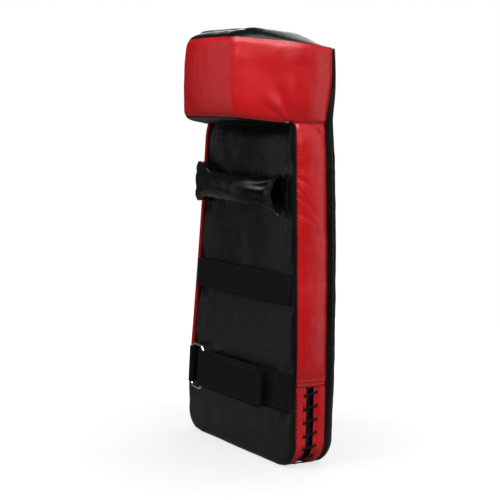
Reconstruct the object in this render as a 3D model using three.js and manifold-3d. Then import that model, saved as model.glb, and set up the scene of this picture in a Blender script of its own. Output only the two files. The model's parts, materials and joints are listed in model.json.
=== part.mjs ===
// A laced kick pad: a tapered foam pad in a synthetic-leather shell, with a padded block at its upper
// end, a grip roll, an elastic forearm band and a hook-and-loop strap on a steel ring.
// Millimetres. +Z runs up the pad from its flat bottom end, -Y is the side the arm lies on,
// +Y is the side that is struck, and +X is to the right of someone facing the arm side.
// Distances in y are measured from the arm panel's face until the whole pad is centred at the end.
import * as THREE from 'three';
import { ConvexGeometry } from 'three/addons/geometries/ConvexGeometry.js';
import { mergeVertices } from 'three/addons/utils/BufferGeometryUtils.js';
import Module from 'manifold-3d';

const wasm = await Module();
wasm.setup();

// ---- driving dimensions -------------------------------------------------------------------------

const gap = 0.3;              // between pieces that lie on each other
const skin = 2;               // synthetic leather with its turned seam
const webbing = 1.6;          // nylon webbing

// pad body
const bottomWidth = 200;
const upperWidth = 152.8;     // from the block's underside to the top
const bodyDepth = 37;         // gusset, from the arm panel to the strike seam
const crownHeight = 14;       // the strike side stands this far past its seam
const crownRound = 18;        // width over which the crown turns down to the seam
const bottomRadius = 24;

// block on the arm side of the upper end
const padHeight = 400;        // to the top seam at the block's front
const topSeamDrop = 9;        // the top seam falls this much to the strike seam
const blockHeight = 78;       // at the arm panel, from the underside to the height of the front top seam
const blockLift = 4;          // the underside rises this much to its front edge
const blockDepth = 45;
const blockFrontWidth = 99;   // at the underside
const blockFrontDraft = 5;    // each side is drawn in this much at the top
const blockRound = 12;        // the block's upright front corners
const topCrown = 9;
const topRound = 10;

// laced opening along the bottom end and a little way up both sides
const lacingHeight = 77;
const slitFrom = 16.5;
const slitWidth = 8.5;
const flapEdge = 6;           // width of the sunk edge that carries the holes
const laceDiameter = 2.4;
const laceCover = 1;          // the lace's crossings lie about this far below the shell
const laceHoleClearance = 0.5;
const laceHoleInset = 2.8;    // from the slit to the middle of a hole
const lacePitch = 12.6;
const laceLead = 4;           // a stitch crosses the slit on this much of a slant
const laceEndMargin = 4.5;    // from the ends of the opening to the first and last holes
const tongueSlack = 1.2;
const tongueSkin = 1.5;
const tongueOverlap = 3.5;    // the tongue reaches this far past the slit on both sides

// foam
const backFoam = 8;
const coreLayers = 2;
const strikeFoamSeat = 4.5;   // how far the crowned layer reaches below the strike seam
const topFoamSeat = 8;        // the same for the layer under the top cover
const blockLayers = 2;

// grip
const gripHeight = 258.5;
const gripSlant = 2.6;        // degrees, right end lower
const gripLength = 124;
const gripRadiusZ = 13.5;
const gripRadiusY = 11.5;
const gripEndRadius = 9;
const gripTaper = 14;
const gripStandOff = 8.5;     // clear space between the roll and the arm panel
const gripCoverWall = 1.6;
const gripWebbingWidth = 14;
const gripWebbingReach = 8.5; // how far the webbing runs out past each end of the roll
const gripWebbingFoot = 6.5;  // its ends stop this far off the arm panel
const gripPatchHeight = 42;
const gripPatchWidth = 8;
const gripStubHalf = 2;       // half height of the sewn root between patch and webbing

// elastic band over the forearm
const bandHeight = 167.5;
const bandWidth = 29.5;
const bandThickness = 1.8;
const bandClear = 5.2;        // clear space under it at the middle
const bandSewn = 9;           // length sewn flat at each end
const bandRise = 24;          // length over which it climbs off the panel

// hook-and-loop strap
const strapHeight = 70.7;
const strapWidth = 37;
const strapClear = 5.2;       // clear space between the strap and the arm panel
const strapBaseFrom = 62;     // from the middle of the pad to where the sewn base starts
const strapRise = 16;         // length over which the strap climbs off the panel
const flapReach = 57;         // from the middle of the pad to the strap's free end
const loopThickness = 1.5;
const hookThickness = 1.5;
const patchMargin = 1.5;      // webbing left showing round a patch
const hookLength = 66;
const loopLength = 88;

// steel ring that the strap turns back through
const wireDiameter = 3;
const wireClearance = 0.45;
const ringBarSpan = 27;       // between the middles of the two long bars
const ringSideRoom = 1.5;     // clear space above and below the strap inside the ring
const ringCorner = 5;
const strapBarX = -57;        // the bar that the strap turns round
const foldSlack = 3;          // room for the bar inside the fold
const tabBarOut = 5.3;        // the other bar, off the arm panel
const tabSeam = 2.6;          // thickness of the tab where it is sewn in

// ---- solids -------------------------------------------------------------------------------------

const curveSegments = 6;
const farAway = 500;          // reach of cutting boxes and prisms

function solid(geometry) {
  const plain = geometry.index ? geometry.toNonIndexed() : geometry.clone();
  plain.deleteAttribute('normal');
  plain.deleteAttribute('uv');
  const merged = mergeVertices(plain, 1e-4);
  return new wasm.Manifold(new wasm.Mesh({
    numProp: 3,
    vertProperties: new Float32Array(merged.attributes.position.array),
    triVerts: new Uint32Array(merged.index.array),
  }));
}

function geometryOf(body) {
  const mesh = body.getMesh();
  const geometry = new THREE.BufferGeometry();
  geometry.setAttribute('position', new THREE.BufferAttribute(new Float32Array(mesh.vertProperties), 3));
  geometry.setIndex(new THREE.BufferAttribute(new Uint32Array(mesh.triVerts), 1));
  geometry.computeVertexNormals();
  return geometry;
}

const faceOn = new THREE.Matrix4().makeBasis(      // a shape's x, y become X, Z and it grows to -Y
  new THREE.Vector3(1, 0, 0), new THREE.Vector3(0, 0, 1), new THREE.Vector3(0, -1, 0));
const sideOn = new THREE.Matrix4().makeBasis(      // a shape's x, y become Y, Z and it grows to +X
  new THREE.Vector3(0, 1, 0), new THREE.Vector3(0, 0, 1), new THREE.Vector3(1, 0, 0));

function extruded(shape, depth, bevel = { bevelEnabled: false }) {
  return new THREE.ExtrudeGeometry(shape, { depth, curveSegments, ...bevel });
}

// a face-on shape between two distances from the arm panel
function slab(shape, from, to) {
  return solid(extruded(shape, to - from).applyMatrix4(faceOn).translate(0, to, 0));
}

// a plan shape of some height, centred on a height
function column(shape, middle, height) {
  return solid(extruded(shape, height).translate(0, 0, middle - height / 2));
}

// a shape drawn in depth and height, right across the pad
function across(points) {
  const shape = new THREE.Shape(points.map(([y, z]) => new THREE.Vector2(y, z)));
  return solid(extruded(shape, 2 * farAway).applyMatrix4(sideOn).translate(-farAway, 0, 0));
}

function boxGeometry(x0, x1, y0, y1, z0, z1) {
  const geometry = new THREE.BoxGeometry(Math.abs(x1 - x0), y1 - y0, z1 - z0);
  return geometry.translate((x0 + x1) / 2, (y0 + y1) / 2, (z0 + z1) / 2);
}

function box(...bounds) {
  return solid(boxGeometry(...bounds));
}

// an extrusion that turns in by `round` over its last `height`, from z = 0 up; it starts at z = from
function crowned(shape, from, height, round, place) {
  const depth = height - from;
  const geometry = extruded(shape, depth, {
    bevelThickness: height, bevelSize: round, bevelOffset: -round, bevelSegments: 4,
  }).translate(0, 0, -depth);
  const cut = boxGeometry(-farAway, farAway, -farAway, farAway, from, farAway);
  return solid(geometry.applyMatrix4(place)).intersect(solid(cut.applyMatrix4(place)));
}

// a strip of webbing seen edge-on, along a line of points
function strip(points, thickness) {
  const line = points.map(([x, y]) => new THREE.Vector2(x, y));
  const side = (offset) => line.map((point, i) => {
    const before = line[Math.max(i - 1, 0)];
    const after = line[Math.min(i + 1, line.length - 1)];
    const along = after.clone().sub(before).normalize();
    return new THREE.Vector2(point.x - along.y * offset, point.y + along.x * offset);
  });
  return new THREE.Shape([...side(thickness / 2), ...side(-thickness / 2).reverse()]);
}

function mirrored(points) {
  return points.map(([x, y]) => [-x, y]).reverse();
}

// ---- outlines -----------------------------------------------------------------------------------

const blockLow = padHeight - blockHeight;
const topSeamBack = padHeight - topSeamDrop;

function halfWidthAt(z) {
  const share = Math.min(z / blockLow, 1);
  return (bottomWidth + (upperWidth - bottomWidth) * share) / 2;
}

const panelEdge = skin + gap;        // the arm panel and the foam lie this far inside the outline

// where the arm panel ends, at the height that is narrowest for a piece sewn to it
function panelHalfWidth(height, pieceHeight) {
  return halfWidthAt(height + pieceHeight / 2) - panelEdge;
}

// the bottom corners are arcs that run into the slanting sides
const sideLean = Math.atan((bottomWidth - upperWidth) / 2 / blockLow);
function bottomCorner(inset) {
  const radius = bottomRadius - inset;
  const z = bottomRadius;
  return { radius, z, x: halfWidthAt(z) - inset - radius / Math.cos(sideLean) };
}

// the pad seen face on
function bodyOutline(inset, top) {
  const waist = upperWidth / 2 - inset;
  const { x, z, radius } = bottomCorner(inset);
  const shape = new THREE.Shape();
  shape.moveTo(waist, top);
  shape.lineTo(-waist, top);
  shape.lineTo(-waist, blockLow);
  shape.absarc(-x, z, radius, Math.PI - sideLean, 3 * Math.PI / 2, false);
  shape.absarc(x, z, radius, -Math.PI / 2, sideLean, false);
  shape.lineTo(waist, blockLow);
  return shape;
}

// the laced rim: down the right side, round the bottom and up the left side
function lacedRim() {
  const { x, z, radius } = bottomCorner(0);
  const path = new THREE.Path();
  path.moveTo(halfWidthAt(lacingHeight), lacingHeight);
  path.lineTo(x + radius * Math.cos(sideLean), z + radius * Math.sin(sideLean));
  path.absarc(x, z, radius, sideLean, -Math.PI / 2, true);
  path.absarc(-x, z, radius, -Math.PI / 2, -Math.PI - sideLean, true);
  path.lineTo(-halfWidthAt(lacingHeight), lacingHeight);
  return path;
}

const topSlope = -topSeamDrop / (blockDepth + bodyDepth);
const topSeamAt = (y) => padHeight + topSlope * (y + blockDepth);
const blockLowAt = (y) => blockLow + Math.max(-y, 0) * blockLift / blockDepth;
const crownTop = padHeight + topCrown;
const margin = 20;                   // how far cutting shapes stand past what they cut

// the block and the pad behind it in plan, as corner points at one height
function blockPlan(inset, back, z) {
  const share = (z - blockLow) / (padHeight - blockLow);
  const side = upperWidth / 2 - inset;
  const front = blockFrontWidth / 2 - blockFrontDraft * share - inset;
  const face = inset - blockDepth;
  const cheek = new THREE.Vector2(side - front, -face).setLength(blockRound);
  const half = new THREE.Path();
  half.moveTo(side, back);
  half.lineTo(side, 0);
  half.lineTo(front + cheek.x, face + cheek.y);
  half.quadraticCurveTo(front, face, front - blockRound, face);
  const right = half.getPoints(curveSegments);
  return [...right, ...right.map((point) => new THREE.Vector2(-point.x, point.y)).reverse()];
}

function blockBody(inset, back = bodyDepth - inset) {
  const levels = [blockLow - margin, crownTop + margin];
  const corners = levels.flatMap((z) => blockPlan(inset, back, z).map(({ x, y }) => new THREE.Vector3(x, y, z)));
  return solid(new ConvexGeometry(corners));
}

const zoneFront = -blockDepth - margin;
const zoneBack = bodyDepth + crownHeight + margin;

// between the block's underside and the top seam, drawn in by two clearances
function blockZone(lowClear, topClear) {
  return across([
    [zoneFront, blockLowAt(zoneFront) + lowClear], [0, blockLow + lowClear], [zoneBack, blockLow + lowClear],
    [zoneBack, topSeamAt(zoneBack) - topClear], [zoneFront, topSeamAt(zoneFront) - topClear],
  ]);
}

function belowTopSeam(clear) {
  return across([
    [zoneFront, -margin], [zoneBack, -margin],
    [zoneBack, topSeamAt(zoneBack) - clear], [zoneFront, topSeamAt(zoneFront) - clear],
  ]);
}

const between = (y0, y1) => box(-farAway, farAway, y0, y1, -farAway, farAway);
const heights = (z0, z1) => box(-farAway, farAway, -farAway, farAway, z0, z1);

// ---- nodes --------------------------------------------------------------------------------------

const pad = new THREE.Group();

const finishes = {
  blackLeather: { color: 0x1b1b1c, roughness: 0.42, metalness: 0 },
  redLeather: { color: 0xb81216, roughness: 0.4, metalness: 0 },
  webbing: { color: 0x121213, roughness: 0.85, metalness: 0 },
  elastic: { color: 0x151516, roughness: 0.8, metalness: 0 },
  hookTape: { color: 0x101011, roughness: 0.95, metalness: 0 },
  steel: { color: 0xd8d8da, roughness: 0.15, metalness: 1 },
  cord: { color: 0x0e0e0f, roughness: 0.9, metalness: 0 },
  firmFoam: { color: 0x3c3d40, roughness: 0.95, metalness: 0 },
  softFoam: { color: 0xd9d6cc, roughness: 0.95, metalness: 0 },
};

function addPiece(name, body, finish, parent = pad) {
  const mesh = new THREE.Mesh(geometryOf(body), new THREE.MeshStandardMaterial(finishes[finish]));
  mesh.name = name;
  parent.add(mesh);
}

const sides = [['left', -1], ['right', 1]];

// ---- shell --------------------------------------------------------------------------------------

const strikeSeam = bodyDepth + gap;
const turnToStrike = new THREE.Matrix4().makeBasis(      // a shape's x, y become X, Z and it grows to +Y
  new THREE.Vector3(-1, 0, 0), new THREE.Vector3(0, 0, 1), new THREE.Vector3(0, 1, 0));

// the crowned strike side, drawn in by an inset and reaching below the strike seam by a seat
function strikeCrown(inset, top, seat) {
  const place = new THREE.Matrix4().makeTranslation(0, strikeSeam, 0).multiply(turnToStrike);
  return crowned(bodyOutline(inset, top), -seat, crownHeight - gap - inset, crownRound - inset, place);
}

// the crowned top over block and pad, on the sloping top seam
const topTilt = Math.atan(topSlope);
function topCrowned(inset, seat) {
  const outline = new THREE.Shape(blockPlan(inset, bodyDepth - inset, padHeight));
  const place = new THREE.Matrix4().makeTranslation(0, -blockDepth, padHeight)
    .multiply(new THREE.Matrix4().makeRotationX(topTilt))
    .multiply(new THREE.Matrix4().makeScale(1, 1 / Math.cos(topTilt), 1))
    .multiply(new THREE.Matrix4().makeTranslation(0, blockDepth, 0));
  return crowned(outline, -seat, topCrown - inset, topRound - inset, place);
}

// a wall that follows the pad's outline, between two depths below it
function rimWall(outer, inner, y0, y1) {
  return slab(bodyOutline(outer, crownTop), y0, y1).subtract(slab(bodyOutline(inner, crownTop + margin), y0 - 1, y1 + 1));
}

addPiece('strike_cover', strikeCrown(0, topSeamBack, 0).subtract(strikeCrown(skin, topSeamBack - skin, margin)),
  'blackLeather');
addPiece('top_cover', topCrowned(0, -gap).subtract(topCrowned(skin, margin)), 'blackLeather');
addPiece('arm_panel', slab(bodyOutline(panelEdge, crownTop), 0, skin).intersect(heights(0, blockLow - gap)),
  'blackLeather');

const gussets = rimWall(0, skin, 0, bodyDepth).intersect(heights(lacingHeight + gap, blockLow - gap));
for (const [side, sign] of sides) {
  addPiece(`side_gusset_${side}`, gussets.intersect(box(0, sign * farAway, -farAway, farAway, 0, crownTop)), 'redLeather');
}

addPiece('block_band',
  blockBody(0).subtract(blockBody(skin, bodyDepth + margin)).intersect(blockZone(0, 0)), 'redLeather');
addPiece('block_underside',
  blockBody(panelEdge).intersect(blockZone(0, 0)).subtract(blockZone(skin, -margin)).intersect(between(zoneFront, -gap)),
  'blackLeather');

// ---- laced opening ------------------------------------------------------------------------------

const slitTo = slitFrom + slitWidth;
const flapSink = laceDiameter + laceCover;
const rim = lacedRim();
const rimLength = rim.getLength();
const belowLacing = heights(-margin, lacingHeight);

// a point on the laced rim: along it from the right end, at a distance from the arm panel, at a depth
function onRim(along, y, depth) {
  const share = along / rimLength;
  const point = rim.getPointAt(share);
  const run = rim.getTangentAt(share);
  return new THREE.Vector3(point.x + run.y * depth, y, point.y - run.x * depth);
}

const stitchRoom = rimLength - 2 * laceEndMargin - laceLead;
const stitchCount = Math.round(stitchRoom / lacePitch) + 1;
const stitchStep = stitchRoom / (stitchCount - 1);
const armHoleY = slitFrom - laceHoleInset;
const strikeHoleY = slitTo + laceHoleInset;
const sunkFloor = flapSink + skin;
const armHoles = [];
const strikeHoles = [];
for (let i = 0; i < stitchCount; i += 1) {
  strikeHoles.push(laceEndMargin + i * stitchStep);
  armHoles.push(laceEndMargin + laceLead + i * stitchStep);
}

function laceHole(along, y) {
  const top = onRim(along, y, flapSink - 1);
  const floor = onRim(along, y, sunkFloor + 1);
  const axis = floor.clone().sub(top);
  const radius = laceDiameter / 2 + laceHoleClearance;
  const hole = new THREE.CylinderGeometry(radius, radius, axis.length(), 8);
  hole.applyQuaternion(new THREE.Quaternion().setFromUnitVectors(new THREE.Vector3(0, 1, 0), axis.normalize()));
  const middle = top.add(floor).multiplyScalar(0.5);
  return solid(hole.translate(middle.x, middle.y, middle.z));
}

// a flap from its seam to the slit: plain at the seam, then sunk below the shell where it is laced
function laceFlap(seamY, slitY, holes, holeY) {
  const inward = Math.sign(slitY - seamY);
  const step = slitY - inward * flapEdge;
  const wall = step - inward * skin;
  const zone = (outer, inner, a, b) => rimWall(outer, inner, Math.min(a, b), Math.max(a, b));
  let flap = zone(0, skin, seamY, step)
    .add(zone(0, sunkFloor, wall, step))
    .add(zone(flapSink, sunkFloor, wall, slitY))
    .intersect(belowLacing);
  for (const along of holes) {
    flap = flap.subtract(laceHole(along, holeY));
  }
  return flap;
}
addPiece('lace_flap_arm', laceFlap(0, slitFrom, armHoles, armHoleY), 'redLeather');
addPiece('lace_flap_strike', laceFlap(bodyDepth, slitTo, strikeHoles, strikeHoleY), 'redLeather');

const tongueDepth = sunkFloor + gap + laceDiameter + gap + tongueSlack;
addPiece('lace_tongue', rimWall(tongueDepth, tongueDepth + tongueSkin, slitFrom - tongueOverlap, slitTo + tongueOverlap)
  .intersect(belowLacing), 'blackLeather');

// the lace goes over the slit and back under it, through a hole in each flap, from stitch to stitch
const overDepth = flapSink - gap - laceDiameter / 2;
const underDepth = sunkFloor + gap + laceDiameter / 2;
const lacePoints = armHoles.flatMap((along, i) => [
  onRim(along, armHoleY, underDepth),
  onRim(along, armHoleY, overDepth),
  onRim(strikeHoles[i], strikeHoleY, overDepth),
  onRim(strikeHoles[i], strikeHoleY, underDepth),
]);

class LaceRoute extends THREE.Curve {      // visits each point in turn, bending there
  getPoint(share) {
    return lacePoints[Math.round(share * (lacePoints.length - 1))].clone();
  }

  getSpacedPoints() {
    return lacePoints.map((point) => point.clone());
  }

  getTangentAt(share) {
    const here = Math.round(share * (lacePoints.length - 1));
    const before = lacePoints[Math.max(here - 1, 0)];
    const after = lacePoints[Math.min(here + 1, lacePoints.length - 1)];
    const point = lacePoints[here];
    const arriving = here > 0 ? point.clone().sub(before).normalize() : new THREE.Vector3();
    const leaving = here < lacePoints.length - 1 ? after.clone().sub(point).normalize() : new THREE.Vector3();
    return arriving.add(leaving).normalize();
  }
}

const laceSection = new THREE.Shape();
laceSection.absarc(0, 0, laceDiameter / 2, 0, 2 * Math.PI);
addPiece('lace', solid(new THREE.ExtrudeGeometry(laceSection, {
  steps: lacePoints.length - 1, curveSegments: 8, bevelEnabled: false, extrudePath: new LaceRoute(),
})), 'cord');

// ---- foam ---------------------------------------------------------------------------------------

// room for the flaps, the lace and the tongue along the laced opening
const lacingRoom = rimWall(-margin, tongueDepth + tongueSkin + gap, slitFrom - flapEdge - skin - gap,
  slitTo + flapEdge + skin + gap).intersect(heights(-margin, lacingHeight + gap));
const underTopFoam = belowTopSeam(topFoamSeat + gap);

function foamSheet(from, to) {
  return slab(bodyOutline(panelEdge, crownTop), from, to).subtract(lacingRoom).intersect(underTopFoam);
}

const backFrom = skin + gap;
const coreFrom = backFrom + backFoam + gap;
const strikeFoamFrom = bodyDepth - strikeFoamSeat;
const coreStep = (strikeFoamFrom - coreFrom) / coreLayers;
addPiece('back_foam', foamSheet(backFrom, backFrom + backFoam), 'firmFoam');
for (let i = 0; i < coreLayers; i += 1) {
  const from = coreFrom + i * coreStep;
  addPiece(`core_foam_${i + 1}`, foamSheet(from, from + coreStep - gap), 'softFoam');
}
const strikeFoamTop = topSeamBack - topFoamSeat - panelEdge;
addPiece('strike_foam', strikeCrown(panelEdge, strikeFoamTop, strikeFoamSeat + gap).subtract(lacingRoom), 'firmFoam');

const blockFoam = blockBody(panelEdge).intersect(blockZone(panelEdge, 0)).intersect(underTopFoam);
const blockFoamFrom = panelEdge - blockDepth;
const blockStep = (skin - blockFoamFrom) / blockLayers;
for (let i = 0; i < blockLayers; i += 1) {
  const from = blockFoamFrom + i * blockStep;
  const to = from + blockStep - (i < blockLayers - 1 ? gap : 0);
  addPiece(`block_foam_${i + 1}`, blockFoam.intersect(between(from, to)), 'softFoam');
}
const strikeCrownKeepOut = between(strikeFoamFrom - gap, farAway);
addPiece('top_foam', topCrowned(panelEdge, topFoamSeat).intersect(blockBody(panelEdge)).subtract(strikeCrownKeepOut),
  'softFoam');

// ---- grip ---------------------------------------------------------------------------------------

// the grip's own frame: the middle of the arm panel's face at the grip's height
const grip = new THREE.Group();
grip.position.z = gripHeight;
grip.rotation.y = THREE.MathUtils.degToRad(gripSlant);
pad.add(grip);

const rollMiddle = -gripStandOff - gripRadiusY;
const rollHalf = gripLength / 2;
const acrossRoll = new THREE.Matrix4().makeBasis(      // a turned shape's axis becomes X
  new THREE.Vector3(0, 0, 1), new THREE.Vector3(1, 0, 0), new THREE.Vector3(0, 1, 0));
function rollSide(inset) {
  const end = gripEndRadius - inset;
  const full = gripRadiusZ - inset;
  return [[end, -rollHalf], [full, gripTaper - rollHalf], [full, rollHalf - gripTaper], [end, rollHalf]];
}
function turned(points) {
  const profile = points.map(([r, along]) => new THREE.Vector2(r, along));
  const geometry = new THREE.LatheGeometry(profile, 20).applyMatrix4(acrossRoll);
  return solid(geometry.scale(1, gripRadiusY / gripRadiusZ, 1).translate(0, rollMiddle, 0));
}
function closedLoop(points) {
  return [...points, points[0]];
}
addPiece('grip_cover', turned(closedLoop([...rollSide(0), ...rollSide(gripCoverWall).reverse()])), 'blackLeather', grip);

const foamSide = rollSide(gripCoverWall + gap);
const webbingFoot = -gripWebbingFoot;
const webbingLine = [
  [0, rollMiddle], [rollHalf + webbing, rollMiddle],
  [rollHalf + gripWebbingReach, webbingFoot - webbing / 2],
];
const webbingShape = strip([...mirrored(webbingLine.slice(1)), ...webbingLine], webbing);
const webbingTrim = between(-farAway, webbingFoot);
const webbingSlot = box(-farAway, farAway, rollMiddle - webbing / 2 - gap, rollMiddle + webbing / 2 + gap,
  -gripWebbingWidth / 2 - gap, gripWebbingWidth / 2 + gap);
addPiece('grip_foam', turned([[0, -rollHalf], ...foamSide, [0, rollHalf]]).subtract(webbingSlot), 'softFoam', grip);
addPiece('grip_webbing', column(webbingShape, 0, gripWebbingWidth).intersect(webbingTrim), 'webbing', grip);

const patchOuter = panelHalfWidth(gripHeight, 2 * gripPatchHeight);
const stubMiddle = rollHalf + gripWebbingReach;
for (const [side, sign] of sides) {
  const patch = box(sign * (patchOuter - gripPatchWidth), sign * patchOuter, -gap - webbing, -gap,
    -gripPatchHeight / 2, gripPatchHeight / 2);
  const stub = box(sign * (stubMiddle - webbing), sign * (stubMiddle + webbing), webbingFoot + 2 * gap,
    -gap - webbing / 2, -gripStubHalf, gripStubHalf);
  addPiece(`grip_patch_${side}`, patch.add(stub), 'blackLeather', grip);
}

// ---- elastic band -------------------------------------------------------------------------------

const bandEnd = panelHalfWidth(bandHeight, bandWidth);
const bandFlat = -gap - bandThickness / 2;
const bandTop = -bandClear - bandThickness / 2;
const bandLine = [
  [bandEnd - bandSewn - bandRise, bandTop], [bandEnd - bandSewn, bandFlat], [bandEnd, bandFlat],
];
addPiece('forearm_band', column(strip([...mirrored(bandLine), ...bandLine], bandThickness), bandHeight, bandWidth),
  'elastic');

// ---- strap and ring -----------------------------------------------------------------------------

const strapEnd = panelHalfWidth(strapHeight, strapWidth);
const strapFlat = -gap - webbing / 2;
const runMiddle = -strapClear - webbing / 2;
const runFace = -strapClear - webbing;
const loopFace = runFace - gap - loopThickness;
const hookFace = loopFace - gap - hookThickness;
const flapInner = hookFace - gap;
const flapMiddle = flapInner - webbing / 2;
const foldX = strapBarX - foldSlack;
const barY = (runFace + flapInner) / 2;

function strapPiece(points, height = strapWidth, thickness = webbing) {
  return column(strip(points, thickness), strapHeight, height);
}
addPiece('strap_base', strapPiece([[strapBaseFrom + gap, strapFlat], [strapEnd, strapFlat]]), 'webbing');
addPiece('strap_run', strapPiece([[foldX + gap, runMiddle], [strapBaseFrom - strapRise, runMiddle],
  [strapBaseFrom, strapFlat]]), 'webbing');

const patchHeight = strapWidth - 2 * patchMargin;
const loopEnd = strapBaseFrom - strapRise - gap;
addPiece('loop_patch', strapPiece([[loopEnd - loopLength, loopFace + loopThickness / 2],
  [loopEnd, loopFace + loopThickness / 2]], patchHeight, loopThickness), 'hookTape');
const hookEnd = flapReach - patchMargin;
addPiece('hook_patch', strapPiece([[hookEnd - hookLength, hookFace + hookThickness / 2],
  [hookEnd, hookFace + hookThickness / 2]], patchHeight, hookThickness), 'hookTape');
addPiece('strap_flap', strapPiece([[foldX + gap, flapMiddle], [flapReach, flapMiddle]]), 'webbing');

const foldInner = (runFace - flapInner) / 2;
const foldOuter = foldInner + webbing;
const foldShape = new THREE.Shape();
foldShape.absarc(foldX, barY, foldOuter, Math.PI / 2, 3 * Math.PI / 2, false);
foldShape.absarc(foldX, barY, foldInner, 3 * Math.PI / 2, Math.PI / 2, true);
addPiece('strap_fold', column(foldShape, strapHeight, strapWidth), 'webbing');

// the ring lies between the two bars, so it leans out from the tab to the fold
const ringLean = Math.asin((-barY - tabBarOut) / ringBarSpan);
const tabBarX = strapBarX - ringBarSpan * Math.cos(ringLean);
const wireHole = wireDiameter / 2 + wireClearance;
const tabOuter = wireHole + webbing;
const tabShape = new THREE.Shape();
tabShape.moveTo(-strapEnd, -gap);
tabShape.lineTo(-strapEnd, -gap - tabSeam);
tabShape.absarc(tabBarX, -tabBarOut, tabOuter, 3 * Math.PI / 2, 5 * Math.PI / 2, false);
const tabHole = new THREE.Path();
tabHole.absarc(tabBarX, -tabBarOut, wireHole, 0, 2 * Math.PI, true);
tabShape.holes.push(tabHole);
addPiece('ring_tab', column(tabShape, strapHeight, strapWidth), 'webbing');

function roundedRectangle(width, height, radius, path) {
  const x = width / 2;
  const y = height / 2;
  path.moveTo(x - radius, -y);
  path.quadraticCurveTo(x, -y, x, radius - y);
  path.lineTo(x, y - radius);
  path.quadraticCurveTo(x, y, x - radius, y);
  path.lineTo(radius - x, y);
  path.quadraticCurveTo(-x, y, -x, y - radius);
  path.lineTo(-x, radius - y);
  path.quadraticCurveTo(-x, -y, radius - x, -y);
  return path;
}
const ringInnerHeight = strapWidth + 2 * ringSideRoom;
const ringShape = roundedRectangle(ringBarSpan + wireDiameter, ringInnerHeight + 2 * wireDiameter, ringCorner,
  new THREE.Shape());
ringShape.holes.push(roundedRectangle(ringBarSpan - wireDiameter, ringInnerHeight, ringCorner - wireDiameter,
  new THREE.Path()));
const wireBevel = wireDiameter * 0.3;
const ringWire = new THREE.ExtrudeGeometry(ringShape, {
  depth: wireDiameter - 2 * wireBevel, curveSegments: 3, bevelThickness: wireBevel, bevelSize: wireBevel,
  bevelOffset: -wireBevel, bevelSegments: 1,
}).translate(ringBarSpan / 2, 0, wireBevel - wireDiameter / 2);
ringWire.applyMatrix4(faceOn);
ringWire.rotateZ(-ringLean);
ringWire.translate(tabBarX, -tabBarOut, strapHeight);
addPiece('strap_ring', solid(ringWire), 'steel');

// the pad is centred between the block's front and the crown of the strike side
pad.position.y = (blockDepth - bodyDepth - crownHeight) / 2;

export default pad;
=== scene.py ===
import json
import math
import random

import bmesh
import bpy
from mathutils import Matrix, Vector, noise


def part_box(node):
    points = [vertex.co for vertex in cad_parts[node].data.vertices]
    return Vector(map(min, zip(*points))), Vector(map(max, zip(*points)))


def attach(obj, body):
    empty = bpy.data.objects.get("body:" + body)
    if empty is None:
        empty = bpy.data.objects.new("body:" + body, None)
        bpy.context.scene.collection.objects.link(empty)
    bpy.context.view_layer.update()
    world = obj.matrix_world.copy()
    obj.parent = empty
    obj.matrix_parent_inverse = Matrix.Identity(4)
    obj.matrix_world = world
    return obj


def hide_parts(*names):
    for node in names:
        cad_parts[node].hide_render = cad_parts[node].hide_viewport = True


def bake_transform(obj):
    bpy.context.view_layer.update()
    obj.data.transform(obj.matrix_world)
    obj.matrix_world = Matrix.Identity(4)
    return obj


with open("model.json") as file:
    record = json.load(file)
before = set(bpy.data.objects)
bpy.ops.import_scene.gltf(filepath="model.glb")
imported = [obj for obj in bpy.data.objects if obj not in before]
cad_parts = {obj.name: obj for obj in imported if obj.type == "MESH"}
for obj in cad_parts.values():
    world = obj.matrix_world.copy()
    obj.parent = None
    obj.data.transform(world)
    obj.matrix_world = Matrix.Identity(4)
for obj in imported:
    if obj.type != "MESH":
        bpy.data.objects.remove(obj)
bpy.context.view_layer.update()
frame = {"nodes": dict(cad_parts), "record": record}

rng = random.Random(11)

# camera

camera = {
    "place": (1.05122, -0.66149, 0.31273), "azimuth": 57.59, "elevation": 5.3, "roll": 2.09, "lens": 91.47,
    "sensor": 36, "near": 0.05, "far": 50,
}


# the way towards a camera or a lamp; azimuth 0 is in front of the arm side
def wayTo(facts):
    azimuth, elevation = math.radians(facts["azimuth"]), math.radians(facts["elevation"])
    level = math.cos(elevation)
    return Vector((math.sin(azimuth) * level, -math.cos(azimuth) * level, math.sin(elevation)))


def makeCamera(facts):
    back, roll = wayTo(facts), math.radians(facts["roll"])
    right = (-back).cross(Vector((0, 0, 1))).normalized()
    up = right.cross(-back)
    turnedRight = right * math.cos(roll) + up * math.sin(roll)
    turnedUp = up * math.cos(roll) - right * math.sin(roll)
    lens = bpy.data.cameras.new("camera")
    lens.lens, lens.sensor_width = facts["lens"], facts["sensor"]
    lens.clip_start, lens.clip_end = facts["near"], facts["far"]
    seen = bpy.data.objects.new("camera", lens)
    bpy.context.collection.objects.link(seen)
    turned = Matrix((turnedRight, turnedUp, back)).transposed().to_4x4()
    seen.matrix_world = Matrix.Translation(facts["place"]) @ turned
    bpy.context.scene.camera = seen


makeCamera(camera)
print("camera set")

# finishes


class Wire:
    # an output socket; sums on it add their Math nodes
    def __init__(self, look, socket):
        self.look, self.socket = look, socket

    def math(self, operation, *values):
        return self.look.node("Math", {"operation": operation}, dict(enumerate(values)))

    def __add__(self, other):
        return self.math("ADD", self, other)

    def __sub__(self, other):
        return self.math("SUBTRACT", self, other)

    def __rsub__(self, other):
        return self.math("SUBTRACT", other, self)

    def __mul__(self, other):
        return self.math("MULTIPLY", self, other)

    __radd__, __rmul__ = __add__, __mul__


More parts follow.
